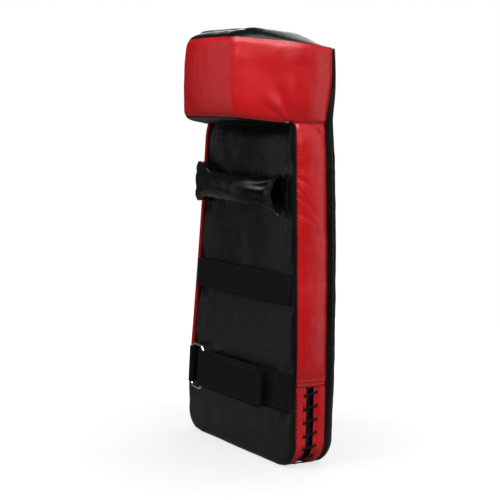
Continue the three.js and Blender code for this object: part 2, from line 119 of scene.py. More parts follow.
class Look:
    # a material: its shader's own values, and the nodes that feed it
    def __init__(self, name, values):
        self.material = bpy.data.materials.new(name)
        self.material.use_nodes = True
        self.tree = self.material.node_tree
        self.shader = self.tree.nodes["Principled BSDF"]
        for socket, value in values.items():
            self.shader.inputs[socket].default_value = value

    def node(self, kind, settings=None, values=None, output=0):
        made = self.tree.nodes.new("ShaderNode" + kind)
        for name, value in (settings or {}).items():
            setattr(made, name, value)
        for name, value in (values or {}).items():
            if isinstance(value, Wire):
                self.tree.links.new(value.socket, made.inputs[name])
            else:
                made.inputs[name].default_value = value
        return Wire(self, made.outputs[output])

    def feed(self, socket, wire):
        self.tree.links.new(wire.socket, self.shader.inputs[socket])

    def place(self, stretch=(1, 1, 1)):
        spot = self.node("TexCoord", output="Object")
        return self.node("Mapping", values={"Vector": spot, "Scale": stretch})

    def cloudy(self, spot, scale, detail=2, roughness=0.5):
        values = {"Vector": spot, "Scale": scale, "Detail": detail, "Roughness": roughness}
        return self.node("TexNoise", values=values)

    def cells(self, spot, scale, feature="F1"):
        return self.node("TexVoronoi", {"feature": feature}, {"Vector": spot, "Scale": scale})

    def between(self, wire, low, high, fromLow=0.0, fromHigh=1.0):
        return self.node("MapRange", values={0: wire, 1: fromLow, 2: fromHigh, 3: low, 4: high})

    def blended(self, share, first, second):
        return self.node("Mix", {"data_type": "RGBA"}, {0: share, 6: first, 7: second}, output=2)

    def bumped(self, height, depth, strength=1.0, under=None):
        values = {"Height": height, "Distance": depth, "Strength": strength}
        if under:
            values["Normal"] = under
        return self.node("Bump", values=values)


def rgb(red, green, blue):
    return (red, green, blue, 1)


# coated leather: fine grain, soft gloss, faint clouding and a few scuffs
leather = {
    "grain": 1150, "grainDepth": 0.00009, "pores": 3200, "clouds": 16,
    "scuffs": 70, "scuffStretch": (1, 1, 0.35), "scuffShare": 0.16,
    "wrinkles": 38, "wrinkleStretch": (1, 1, 0.5), "wrinkleDepth": 0.00035,
}


def makeLeather(name, colour, scuffed, gloss, level):
    look = Look(name, {"Specular IOR Level": level})
    spot = look.place()
    clouds = look.cloudy(spot, leather["clouds"], 3)
    worn = look.cloudy(look.place(leather["scuffStretch"]), leather["scuffs"], 4, 0.7)
    scuffs = look.between(worn, 0, 1, 0.58, 0.72)
    tone = look.blended(look.between(clouds, 0, 1, 0.35, 0.7), colour[0], colour[1])
    look.feed("Base Color", look.blended(scuffs * leather["scuffShare"], tone, scuffed))
    look.feed("Roughness", look.between(clouds, gloss - 0.05, gloss + 0.06, 0.3, 0.7) + scuffs * 0.02)
    grain = look.cells(spot, leather["grain"], "DISTANCE_TO_EDGE")
    pores = look.cloudy(spot, leather["pores"], 1)
    wrinkles = look.cloudy(look.place(leather["wrinkleStretch"]), leather["wrinkles"], 2)
    soft = look.bumped(wrinkles, leather["wrinkleDepth"], 0.55)
    fine = look.bumped(look.between(grain, 0, 1, 0, 0.35) + pores * 0.25, leather["grainDepth"], 0.5, soft)
    look.feed("Normal", fine)
    return look.material


# woven tape, in the strip's own length and width
def makeWeave(name, colour, rib, warp, depth, roughness):
    look = Look(name, {"Specular IOR Level": 0.09, "Sheen Weight": 0.015, "Sheen Roughness": 0.5})
    flat = look.node("TexCoord", output="UV")
    along, across = (look.node("SeparateXYZ", values={0: flat}, output=axis) for axis in (0, 1))
    thread = look.node("Math", {"operation": "FLOOR"}, {0: across * (1 / warp)})
    shift = look.node("Math", {"operation": "MODULO"}, {0: thread, 1: 2.0})      # 0 and 1 in turn
    ribs = look.node("Math", {"operation": "SINE"}, {0: along * (2 * math.pi / rib) + shift * math.pi})
    threads = look.node("Math", {"operation": "SINE"}, {0: across * (2 * math.pi / warp)})
    height = ribs * 0.5 + threads * 0.3
    fuzz = look.cloudy(look.place(), 900, 3)
    # painted shade: the tape is darker where the weave lies lower, as in its hollows, with a random fuzz in
    # its tone too
    look.feed("Base Color", look.blended(look.between(height + fuzz, 0, 1, -0.6, 1.6), colour[0], colour[1]))
    look.feed("Roughness", look.between(fuzz, roughness - 0.08, roughness + 0.06))
    look.feed("Normal", look.bumped(height + fuzz * 0.4, depth, 0.8))
    return look.material


def makeFuzz(name, colour, scale, depth):
    look = Look(name, {"Specular IOR Level": 0.12, "Roughness": 0.95, "Sheen Weight": 0.05})
    spot = look.place()
    tufts = look.cells(spot, scale)
    # painted shade: lighter on each tuft and darker in the low gaps between tufts, following the bump
    look.feed("Base Color", look.blended(look.between(tufts, 1, 0, 0.1, 0.8), colour[0], colour[1]))
    height = look.between(tufts, 1, 0) + look.cloudy(spot, scale * 3, 2) * 0.5
    look.feed("Normal", look.bumped(height, depth, 0.9))
    return look.material


def makeThread(name, colour):
    look = Look(name, {"Specular IOR Level": 0.35})
    values = {"Vector": look.place(), "Scale": 900, "Distortion": 1}
    twist = look.node("TexWave", {"bands_direction": "DIAGONAL"}, values)
    # painted shade and highlight: the thread is darker where its twist lies low in the bump, lighter on the
    # twist's crests
    look.feed("Base Color", look.blended(look.between(twist, 0, 0.6), colour[0], colour[1]))
    look.feed("Roughness", look.between(twist, 0.55, 0.75))
    look.feed("Normal", look.bumped(twist, 0.00015, 0.7))
    return look.material


def makeSteel():
    look = Look("polishedSteel", {"Metallic": 1.0, "Base Color": rgb(0.8, 0.8, 0.81)})
    rubbed = look.cloudy(look.place((1, 1, 6)), 260, 3, 0.7)
    look.feed("Roughness", look.between(rubbed, 0.1, 0.26))
    look.feed("Normal", look.bumped(rubbed, 0.00003, 0.3))
    return look.material


def makeFoam(name, colour, cell):
    look = Look(name, {"Roughness": 0.95, "Specular IOR Level": 0.2})
    spot = look.place()
    bubbles = look.cells(spot, cell)
    # painted shade: each foam cell is darker at its middle, where the bump sinks into a pore
    look.feed("Base Color", look.blended(look.between(bubbles, 0, 1, 0.1, 0.7), colour[0], colour[1]))
    look.feed("Normal", look.bumped(bubbles + look.cloudy(spot, cell * 0.2, 2), 0.0006, 0.7))
    return look.material


blackLeather = makeLeather("blackLeather", (rgb(0.0022, 0.0022, 0.0024), rgb(0.0038, 0.0038, 0.004)),
                           rgb(0.006, 0.006, 0.0065), gloss=0.27, level=0.3)
redLeather = makeLeather("redLeather", (rgb(0.44, 0.003, 0.005), rgb(0.54, 0.006, 0.009)),
                         rgb(0.6, 0.015, 0.02), gloss=0.28, level=0.5)
webbing = makeWeave("nylonWebbing", (rgb(0.0015, 0.0015, 0.0016), rgb(0.005, 0.005, 0.0053)),
                    rib=0.0016, warp=0.0011, depth=0.0002, roughness=0.8)
elastic = makeWeave("wovenElastic", (rgb(0.0012, 0.0012, 0.0013), rgb(0.004, 0.004, 0.0043)),
                    rib=0.0009, warp=0.0024, depth=0.00025, roughness=0.82)
hookTape = makeFuzz("hookTape", (rgb(0.003, 0.003, 0.003), rgb(0.012, 0.012, 0.012)), 1100, 0.0006)
laceCord = makeFuzz("laceCord", (rgb(0.001, 0.001, 0.001), rgb(0.005, 0.005, 0.005)), 1400, 0.0003)
blackThread = makeThread("blackThread", (rgb(0.002, 0.002, 0.002), rgb(0.008, 0.008, 0.008)))
redThread = makeThread("redThread", (rgb(0.5, 0.03, 0.035), rgb(0.75, 0.12, 0.12)))
steel = makeSteel()
firmFoam = makeFoam("firmFoam", (rgb(0.035, 0.036, 0.04), rgb(0.06, 0.061, 0.065)), 700)
softFoam = makeFoam("softFoam", (rgb(0.55, 0.52, 0.44), rgb(0.74, 0.72, 0.64)), 450)
print("finishes made")

# how a piece is made


bowing = {"tall": 0.4, "depth": 0.0026, "deep": 0.034, "more": 0.8}


# the whole pad bows a little towards the side that is struck, and that side bows more
def bow(z, y):
    share, behind = min(max(z / bowing["tall"], 0), 1), min(max(y / bowing["deep"], 0), 1)
    return 4 * bowing["depth"] * share * (1 - share) * (1 + bowing["more"] * behind)


def finishPiece(bm, name, material, slot, body=None, stands=(), sharp=50, fill=None):
    mesh = bpy.data.meshes.new(name)
    for vert in bm.verts:
        vert.co.y += bow(vert.co.z, vert.co.y)
    bm.to_mesh(mesh)
    bm.free()
    mesh.materials.append(material)
    mesh.polygons.foreach_set("use_smooth", [True] * len(mesh.polygons))
    mesh.set_sharp_from_angle(angle=math.radians(sharp))
    piece = bpy.data.objects.new(name, mesh)
    bpy.context.collection.objects.link(piece)
    if body:
        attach(piece, body)
    if stands:
        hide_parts(*stands)
    return piece


# a flat grid with a UV map in 0 to 1, or in the lengths given
def flatGrid(columns, rows, lengths=(1, 1)):
    bm = bmesh.new()
    uv = bm.loops.layers.uv.new("UVMap")
    bmesh.ops.create_grid(bm, x_segments=columns, y_segments=rows, size=0.5, calc_uvs=True)
    for face in bm.faces:
        for loop in face.loops:
            loop[uv].uv = (loop[uv].uv.x * lengths[0], loop[uv].uv.y * lengths[1])
    return bm


# a sheet cut on a grid, laid out by place(u, v) in 0 to 1, and given its thickness inwards
def layOut(columns, rows, place, inside, wall):
    bm = flatGrid(columns, rows)
    for vert in bm.verts:
        vert.co = place(vert.co.x + 0.5, vert.co.y + 0.5)
    bm.normal_update()
    centres = [(face.calc_center_median(), face.normal) for face in bm.faces]
    if sum((centre - inside(centre)).dot(normal) for centre, normal in centres) < 0:
        bmesh.ops.reverse_faces(bm, faces=bm.faces[:])
    giveWall(bm, wall)
    return bm


def giveWall(bm, wall):
    bm.normal_update()
    grown = bmesh.ops.extrude_face_region(bm, geom=bm.faces[:], use_keep_orig=True)["geom"]
    for item in grown:
        if isinstance(item, bmesh.types.BMVert):
            item.co -= item.normal * wall
    bmesh.ops.recalc_face_normals(bm, faces=bm.faces[:])


def toward(x, y, z):
    return lambda centre: Vector((x, y, z))


padMiddle, gussetMiddle, blockMiddle = toward(0, 0.02, 0.2), toward(0, 0.018, 0.2), toward(0, -0.005, 0.36)


def ease(t):
    t = min(max(t, 0.0), 1.0)
    return t * t * (3 - 2 * t)


def swell(t, power=2.0):
    return 1 - abs(2 * t - 1) ** power


# 0 to 1, crowded at both ends
def crowd(t, power=1.7):
    side = 2 * t - 1
    return 0.5 + 0.5 * math.copysign(1 - (1 - abs(side)) ** power, side)


# 1 at a place, falling off to 0 within about twice the reach
def near(distance, reach):
    return math.exp(-((distance / reach) ** 2))


def dent(distance, depth, reach):
    return depth * near(distance, reach)


# the smaller of two distances, with the corner between them rounded off
def nearer(first, second):
    low, high = sorted((first, second))
    reach = 1.2 * low + 1e-6
    return max(low - max(reach - (high - low), 0) ** 2 / reach / 4, 0)


def ripple(point, size, seed=0.0):
    return noise.noise(Vector(point) / size + Vector((seed, seed * 1.7, -seed)))


# the pad's outline

pad = {
    "bottomHalf": 0.1, "topHalf": 0.0764, "shoulder": 0.322, "corner": 0.024,
    "frontTop": 0.4, "backTop": 0.3945,
    "face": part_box("arm_panel")[0].y, "strikeSeam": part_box("side_gusset_right")[1].y,
    "back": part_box("strike_cover")[1].y, "front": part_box("block_band")[0].y - 0.0038,
    "edgeRoll": 0.004, "edgeReach": 0.0075, "crownReach": 0.0125, "tuck": 0.0012, "tuckReach": 0.0024,
    "skin": 0.0018,
}
pad["armSeam"] = pad["face"] + pad["edgeRoll"]
sideLean = math.atan((pad["bottomHalf"] - pad["topHalf"]) / pad["shoulder"])


def halfWidthAt(z):
    return pad["bottomHalf"] - (pad["bottomHalf"] - pad["topHalf"]) * min(z / pad["shoulder"], 1)


cornerX = halfWidthAt(pad["corner"]) - pad["corner"] / math.cos(sideLean)


def rimHalfAt(z):
    radius = pad["corner"]
    if z < radius * (1 + math.sin(sideLean)):
        return cornerX + math.sqrt(max(radius ** 2 - (radius - z) ** 2, 0))
    return halfWidthAt(z)


# how far a point of the width and height lies inside the outline, under a top
def insideBy(x, z, top):
    x = abs(x)
    dx, dz = x - cornerX, z - pad["corner"]
    if dx > 0 and dz < dx * math.tan(sideLean):
        return max(pad["corner"] - math.hypot(dx, dz), 0)
    side = (halfWidthAt(z) - x) * math.cos(sideLean)
    return nearer(max(side, 0), max(min(z, top - z), 0))


class Track:
    # a line in two directions, measured along itself; out() points to its left
    def __init__(self, points):
        self.points = [Vector(point) for point in points]
        self.marks = [0.0]
        for first, second in zip(self.points, self.points[1:]):
            self.marks.append(self.marks[-1] + (second - first).length)
        self.length = self.marks[-1]

    def at(self, along):
        along = min(max(along, 0.0), self.length)
        low, high = 0, len(self.marks) - 2
        while low < high:
            middle = (low + high + 1) // 2
            if self.marks[middle] <= along:
                low = middle
            else:
                high = middle - 1
        step = self.marks[low + 1] - self.marks[low]
        return self.points[low].lerp(self.points[low + 1], (along - self.marks[low]) / step)

    def out(self, along, reach=0.0015):
        step = self.at(along + reach) - self.at(along - reach)
        return Vector((-step.y, step.x)).normalized()


def rimTrack(top):
    radius, turns = pad["corner"], 24
    right = [(pad["topHalf"], top)] if top > pad["shoulder"] else []
    right.append((halfWidthAt(min(top, pad["shoulder"])), min(top, pad["shoulder"])))
    for turn in range(turns + 1):
        angle = sideLean - (math.pi / 2 + sideLean) * turn / turns
        right.append((cornerX + radius * math.cos(angle), radius + radius * math.sin(angle)))
    return Track(right + [(-x, z) for x, z in reversed(right)])


def seamDent(distance):
    return dent(distance, pad["tuck"], pad["tuckReach"])


# the block's outline, seen from above

block = {
    "low": 0.322, "tall": 0.078, "lift": 0.004, "depth": 0.045, "frontHalf": 0.0505, "draft": 0.005,
    "round": 0.0075, "cheekRound": 0.022, "frontCrown": 0.0042, "crownAside": -0.008, "bulge": 0.0022,
    "topDome": 0.0118, "topReach": 0.03, "underDome": 0.0042, "underReach": 0.014, "seamShift": 0.0068,
    "fold": 0.00085, "foldAt": 0.022, "foldReach": 0.016, "foldTurns": 9.5, "inCorner": 0.0016,
    "topCrease": 0.0022, "topCreaseAt": 0.0155,
}


# the struck side's seam lies further back along the block
def seamAt(z):
    return pad["strikeSeam"] + block["seamShift"] * ease((z - block["low"] + 0.002) / 0.05)


def lowAt(y):
    return block["low"] + max(pad["face"] - y, 0) * block["lift"] / block["depth"]


def topAt(y):
    fall, deep = pad["frontTop"] - pad["backTop"], pad["strikeSeam"] - pad["front"]
    return pad["frontTop"] - fall * (y - pad["front"]) / deep


def rounded(before, corner, after, reach, steps=8):
    start = corner + (before - corner).normalized() * reach
    end = corner + (after - corner).normalized() * reach
    turns = [step / steps for step in range(steps + 1)]
    return [start.lerp(corner, t).lerp(corner.lerp(end, t), t) for t in turns]


# the plan at a share of the block's height
def planTrack(share, inset=0.0):
    half = pad["topHalf"] - inset
    front = block["frontHalf"] - block["draft"] * share - inset
    y = pad["front"] + inset
    back = Vector((half, seamAt(block["low"] + block["tall"] * share) - inset))
    cheek = Vector((half, pad["face"]))
    corner, other = Vector((front, y + block["frontCrown"])), Vector((-front, y + block["frontCrown"]))
    right = [back] + rounded(back, cheek, corner, block["cheekRound"])
    right += rounded(cheek, corner, other, block["round"])
    right += [Vector((front * t, corner.y)) for t in (0.55, 0.4, 0.2)]
    line = right + [Vector((0, corner.y))] + [Vector((-point.x, point.y)) for point in reversed(right)]
    for point in line:
        if abs(point.x) < front:
            aside = block["crownAside"] * (1 - (point.x / front) ** 2)
            point.y -= block["frontCrown"] * (1 - ((point.x - aside) / front) ** 2)
    return Track(line)


# where the block's plan lies at a depth, and how far inside it a point is
def planEdges(track, y):
    found = [0.0]
    for first, second in zip(track.points, track.points[1:]):
        if (first.y - y) * (second.y - y) <= 0 and abs(first.y - second.y) > 1e-9:
            found.append(first.x + (second.x - first.x) * (first.y - y) / (second.y - first.y))
    return min(found), max(found)


def insidePlan(track, x, y, back=None):
    nearest = 1.0
    for first, second in zip(track.points, track.points[1:]):
        span = second - first
        share = min(max((Vector((x, y)) - first).dot(span) / max(span.length_squared, 1e-12), 0), 1)
        nearest = min(nearest, (first + span * share - Vector((x, y))).length)
    if back is None:
        return nearest
    return nearer(nearest, max(back - y, 0))


print("outlines ready")

# shell


strike = {
    "waist": 0.0014, "swell": 0.0024, "belly": 0.0012, "pucker": 0.0007, "rolling": 0.0011, "lift": 0.0012,
}


def strikeFace(u, v):
    z = pad["backTop"] * crowd(v)
    x = rimHalfAt(z) * (2 * crowd(u) - 1)
    away = insideBy(x, z, pad["backTop"])
    share = min(away / pad["crownReach"], 1)
    seam = seamAt(z)
    crown = (pad["back"] - seam) * math.sqrt(1 - (1 - share) ** 2)
    drawn = 1 - dent(crown, pad["tuck"], pad["tuckReach"]) / 0.09
    waist = dent(z - block["low"] - 0.002, strike["waist"], 0.02) * ease(crown / 0.006)
    middle = ease(z / 0.12) * ease((pad["frontTop"] - z) / 0.06)
    past = strike["swell"] * middle * swell(crown / (pad["back"] - seam), 2)      # the edge swells outwards
    x += math.copysign(past, x)
    crown += strike["belly"] * middle * share
    pucker = strike["pucker"] * ripple((x, 0, z), 0.011, 3) * near(away - 0.008, 0.008)
    rolling = strike["rolling"] * ripple((x, 0, z), 0.06, 9) * share
    lift = strike["lift"] * ease(crown / 0.004) * ease((z - 0.33) / 0.05)
    return Vector((x * drawn, seam + crown + pucker + rolling - waist, z * drawn + lift + (1 - drawn) * 0.2))


finishPiece(layOut(84, 150, strikeFace, padMiddle, pad["skin"]), "strikeCover", blackLeather,
            "black_leather", "pad", ["strike_cover"], fill=0.8)

arm = {
    "above": 0.003, "belly": 0.0011, "under": 0.0035, "underReach": 0.011, "cornerFall": 0.0052,
    "sewnOn": ((0.258, 0.022), (0.1675, 0.0135), (0.0707, 0.018)), "sewnIn": 0.009,
    "pucker": 0.0013, "puckerReach": 0.0075, "leftSwell": 0.0034, "leftReach": 0.02,
}


# the left edge stands forward, with the gusset turned over it
def leftSwell(z):
    return arm["leftSwell"] * ease((z - 0.022) / 0.035) * ease((0.335 - z) / 0.03)


def armFace(u, v):
    top = block["low"] + arm["above"]
    z = top * (1 - (1 - v) ** 1.35) if v > 0 else 0.0
    x = rimHalfAt(z) * (2 * crowd(u, 1.9) - 1)
    away = insideBy(x, z, 1.0)
    share = min(away / pad["edgeReach"], 1)
    roll = pad["edgeRoll"] * (1 - math.sqrt(1 - (1 - share) ** 2))
    low = 0.0009 * ripple((x, 0, z), 0.05, 5) + 0.00045 * ripple((x, 0, z), 0.017, 6)
    belly = arm["belly"] * ease(away / 0.05)
    under = dent(z - block["low"], arm["under"], arm["underReach"])       # drawn in under the block
    puckers = 0.0                                                         # and at each sewn-on end
    for side in (-1, 1):
        for height, wide in arm["sewnOn"]:
            for edge in (-1, 1):
                across = x - side * (halfWidthAt(height) - arm["sewnIn"])
                spot = Vector((across, z - height - edge * (wide + 0.003)))
                puckers += dent(spot.length, arm["pucker"], arm["puckerReach"])
    under *= ease((away - 0.002) / 0.012)
    z -= arm["cornerFall"] * (z / top) ** 8 * (1 - ease((halfWidthAt(z) - abs(x)) / 0.014))
    y = pad["face"] + roll - low - belly + under + puckers * ease(away / 0.004)
    if x < 0:
        y -= leftSwell(z) * near(away, arm["leftReach"])
    return Vector((x, y, z))


finishPiece(layOut(84, 150, armFace, padMiddle, pad["skin"]), "armPanel", blackLeather,
            "black_leather", "pad", ["arm_panel"], fill=0.7)

gusset = {
    "bulge": 0.0024, "low": 0.0772, "turned": 0.3, "proud": 0.0014,
    "gripHeight": 0.256, "creaseDepth": 0.0007,
    "creases": ((0.0, -0.9), (0.017, -0.6), (-0.016, -0.5), (0.008, -1.3)), "upperCrease": 0.3145,
}


def gussetFace(side):
    def place(u, v):
        deep = pad["strikeSeam"] - pad["armSeam"]
        z = gusset["low"] + (block["low"] - gusset["low"]) * crowd(v, 1.3)
        if side < 0 and u < gusset["turned"]:
            over = 1 - u / gusset["turned"]
            angle = math.pi / 2 * over
            proud = gusset["proud"] * ease(over / 0.12 + 0.35) * math.sin(min(angle * 2 + 0.5, math.pi / 2))
            x = halfWidthAt(z) - pad["edgeReach"] + (pad["edgeReach"] + proud) * math.cos(angle)
            y = pad["armSeam"] - (pad["edgeRoll"] + proud) * math.sin(angle)
            y -= leftSwell(z) * ease(angle / 0.6)
            return Vector((-x, y, z))
        if side < 0:
            u = (u - gusset["turned"]) / (1 - gusset["turned"])
        y = pad["armSeam"] + deep * crowd(u, 1.5)
        a, b = (y - pad["armSeam"]), (pad["strikeSeam"] - y)
        c, d = z - gusset["low"], block["low"] - z
        bulge = gusset["bulge"] * swell((y - pad["armSeam"]) / deep, 2.4) * ease(c / 0.02) * ease(d / 0.02)
        bulge -= (seamDent(a) if side > 0 else 0) + seamDent(b) + seamDent(c) * 0.8 + seamDent(d) * 0.8
        crease = 0.0
        for edge, slope in gusset["creases"]:         # drawn in by the grip's sewn end
            line = (z - gusset["gripHeight"] - edge) - slope * (y - pad["armSeam"])
            crease += dent(line, gusset["creaseDepth"], 0.0016) * near(y - 0.007, 0.007)
        upper = (z - gusset["upperCrease"]) + 0.75 * (y - 0.026)
        crease += dent(upper, 0.0008, 0.0018) * near(y - 0.027, 0.007)
        ruffle = 0.0005 * ripple((side, y, z), 0.022, 2) + 0.0003 * ripple((side, y, z), 0.009, 4)
        return Vector((side * (halfWidthAt(z) + bulge - crease + ruffle), y, z))
    return place


for side, word in ((1, "right"), (-1, "left")):
    finishPiece(layOut(36, 150, gussetFace(side), gussetMiddle, pad["skin"]), f"gusset{word.title()}",
                redLeather, "red_leather", "pad", [f"side_gusset_{word}"], fill=0.7)

planTracks = {}


def bandFace(u, v):
    share = crowd(v, 1.4)
    key = round(share, 5)
    if key not in planTracks:
        planTracks[key] = planTrack(share)
    track = planTracks[key]
    along = track.length * crowd(u, 1.15)
    spot, out = track.at(along), track.out(along, 0.004)
    low, high = lowAt(spot.y), topAt(spot.y)
    z = low + (high - low) * share
    ends = min(along, track.length - along)
    bulge = block["bulge"] * swell(share, 3) * ease(ends / 0.02)
    bulge -= seamDent(z - low) + seamDent(high - z) + seamDent(ends)
    cheek = pad["strikeSeam"] - pad["face"]                           # the sides turn in here
    fold = 0.0
    for turn in (along, track.length - along):
        a, b = turn - cheek, z - block["low"]
        reach, angle = math.hypot(a, b), math.atan2(b, a)
        fade = near(reach - block["foldAt"], block["foldReach"])
        fade = fade * ease((angle - 0.35) / 0.3) * ease((1.75 - angle) / 0.35)
        fold += block["fold"] * math.sin(angle * block["foldTurns"] + 0.6) * fade
        fold -= dent(reach, block["inCorner"], 0.011)
    ruffle = 0.0009 * ripple((spot.x, spot.y, z), 0.045, 7) + 0.0003 * ripple((spot.x, spot.y, z), 0.014, 8)
    spot = spot + out * (bulge + fold + ruffle * ease(min(z - low, high - z) / 0.008))
    return Vector((spot.x, spot.y, z))


finishPiece(layOut(220, 56, bandFace, blockMiddle, pad["skin"]), "blockBand", redLeather,
            "red_leather", "pad", ["block_band"], fill=0.8)

topTrack, underTrack = planTrack(1.0, pad["tuck"]), planTrack(0.0, pad["tuck"])


# a plate inside the plan, up to a straight back edge; u runs across it and v from front to back
def plate(track, back):
    left, right = planEdges(track, back)
    inner = [point for point in track.points if point.y < back - 1e-6]
    line = Track([Vector((right, back))] + inner + [Vector((left, back))])
    corner = max(zip(line.points, line.marks), key=lambda pair: pair[0].x - pair[0].y)[1]
    frontLeft, frontRight = line.at(line.length - corner), line.at(corner)
    backLeft, backRight = Vector((left, back)), Vector((right, back))

    def place(u, v):
        sides = line.at(line.length - corner * (1 - v)) * (1 - u) + line.at(corner * (1 - v)) * u
        near = line.at(line.length - corner - (line.length - 2 * corner) * u)
        ends = frontLeft.lerp(frontRight, u) * (1 - v) + backLeft.lerp(backRight, u) * v
        return sides + near * (1 - v) + backLeft.lerp(backRight, u) * v - ends
    return place


topBack = seamAt(pad["frontTop"]) - pad["tuck"]
topPlate, underPlate = plate(topTrack, topBack), plate(underTrack, pad["face"] + 0.002)


def topFace(u, v):
    u, v = crowd(u, 1.7), crowd(v, 1.7)
    x, y = topPlate(u, v)
    away = insidePlan(topTrack, x, y, topBack)
    sizes = (u, 2 * pad["topHalf"]), (v, topBack - pad["front"])
    shares = [min(t, 1 - t) * size / block["topReach"] for t, size in sizes]
    share = math.prod(math.sin(min(part, 1) * math.pi / 2) ** 0.75 for part in shares)
    rise = block["topDome"] * share
    valley = (y - pad["front"] - block["topCreaseAt"]) - 0.06 * x
    crease = dent(valley, block["topCrease"], 0.0034) * ease((0.05 - x) / 0.03) * ease(away / 0.006)
    ruffle = 0.0012 * ripple((x, y, 0), 0.045, 12) * share
    ruffle += 0.0004 * ripple((x, y, 0), 0.014, 13) * near(away - 0.008, 0.006)
    return Vector((x, y, topAt(y) + rise - crease + ruffle))


finishPiece(layOut(96, 64, topFace, toward(0, 0, 0.36), pad["skin"]), "topCover", blackLeather,
            "black_leather", "pad", ["top_cover"], fill=0.8)


def underFace(u, v):
    x, y = underPlate(crowd(u, 1.7), v ** 1.5)
    away = insidePlan(underTrack, x, y)
    share = min(away / block["underReach"], 1)
    sag = block["underDome"] * math.sqrt(1 - (1 - share) ** 2) * ease((pad["face"] - y) / 0.016)
    return Vector((x, y, lowAt(y) - sag + 0.0006 * ripple((x, y, 0), 0.02, 14) * share))


finishPiece(layOut(84, 34, underFace, toward(0, -0.02, 0.36), pad["skin"]), "blockUnderside", blackLeather,
            "black_leather", "pad", ["block_underside"], fill=0.7)
print("shell made")

# foam inside


# a layer of foam between two depths, shaped by its half width and its lowest and highest place
def foamLayer(name, node, depths, halfAt, lowAndHigh, material, slot, fill):
    bm = bmesh.new()
    bmesh.ops.create_cube(bm, size=1)
    bmesh.ops.subdivide_edges(bm, edges=bm.edges[:], cuts=15, use_grid_fill=True)
    for vert in bm.verts:
        across, deep, tall = vert.co.x + 0.5, vert.co.y + 0.5, vert.co.z + 0.5
        y = depths[0] + (depths[1] - depths[0]) * deep
        low, high = lowAndHigh(y)
        z = low + (high - low) * tall
        vert.co = Vector((halfAt(y, z) * (2 * across - 1), y, z))
    edges = [edge for edge in bm.edges if edge.calc_face_angle(0) > 0.9]
    bmesh.ops.bevel(bm, geom=edges, affect="EDGES", offset=0.0008, segments=2, profile=0.5, material=-1)
    bmesh.ops.recalc_face_normals(bm, faces=bm.faces[:])
    return finishPiece(bm, name, material, slot, "pad", [node], fill=fill)


def bodyHalf(y, z):
    return rimHalfAt(z) - 0.0085


def blockHalf(y, z):
    left, right = planEdges(topTrack, max(y, pad["front"] + 0.005))
    return min(-left, right) - 0.005


def topFoamHalf(y, z):
    return blockHalf(y, z) - 0.008


def bodyHeights(y):
    return 0.0105, 0.381


def strikeHeights(y):
    return 0.013, 0.378


def blockHeights(y):
    return lowAt(y) + 0.004, topAt(y) - 0.009


def topFoamHeights(y):
    return topAt(y) - 0.0087, topAt(y) + 0.0012


firm, soft = (firmFoam, "firm_foam", 0.9), (softFoam, "soft_foam", 0.6)
for name, node, depths, half, heights, kind in (
    ("backFoam", "back_foam", (0.0022, 0.008), bodyHalf, bodyHeights, firm),
    ("coreFoamFront", "core_foam_1", (0.0083, 0.0183), bodyHalf, bodyHeights, soft),
    ("coreFoamBack", "core_foam_2", (0.0186, 0.0292), bodyHalf, bodyHeights, soft),
    ("strikeFoam", "strike_foam", (0.0295, 0.0405), bodyHalf, strikeHeights, firm),
    ("blockFoamFront", "block_foam_1", (-0.0415, -0.0237), blockHalf, blockHeights, soft),
    ("blockFoamBack", "block_foam_2", (-0.0234, -0.001), blockHalf, blockHeights, soft),
    ("topFoam", "top_foam", (-0.035, 0.022), topFoamHalf, topFoamHeights, soft),
):
    foamLayer(name, node, depths, half, heights, *kind)
print("foam made")

# laced end

lacing = {
    "top": 0.077, "armHole": 0.0107, "strikeHole": 0.0248, "armEdge": 0.0139, "strikeEdge": 0.0214,
    "sink": 0.0017, "hem": 0.002, "holeShare": 0.78, "first": 0.0045, "lead": 0.004, "pitch": 0.0126,
    "cordWide": 0.001, "cordThin": 0.0007, "holeWide": 0.0013, "holeDeep": 0.0009,
    "tongueDepth": 0.006, "tongueFrom": 0.0102, "tongueTo": 0.0253, "tongueWall": 0.0014,
}
rim = rimTrack(lacing["top"])
stitchRoom = rim.length - 2 * lacing["first"] - lacing["lead"]
stitchGaps = round(stitchRoom / lacing["pitch"])
stitchStep = stitchRoom / stitchGaps
strikeHoles = [lacing["first"] + index * stitchStep for index in range(stitchGaps + 1)]
armHoles = [lacing["first"] + lacing["lead"] + index * stitchStep for index in range(stitchGaps + 1)]


def onRim(along, y, depth):
    spot, out = rim.at(along), rim.out(along, 0.003)
    spot = spot - out * depth
    return Vector((spot.x, y, spot.y))


# depth of a flap under the rim, from its seam (0) to the slit (1)
def flapDepth(share):
    return lacing["sink"] * ease((share - 0.3) / 0.6) - 0.0011 * swell(min(share * 1.4, 1), 2)


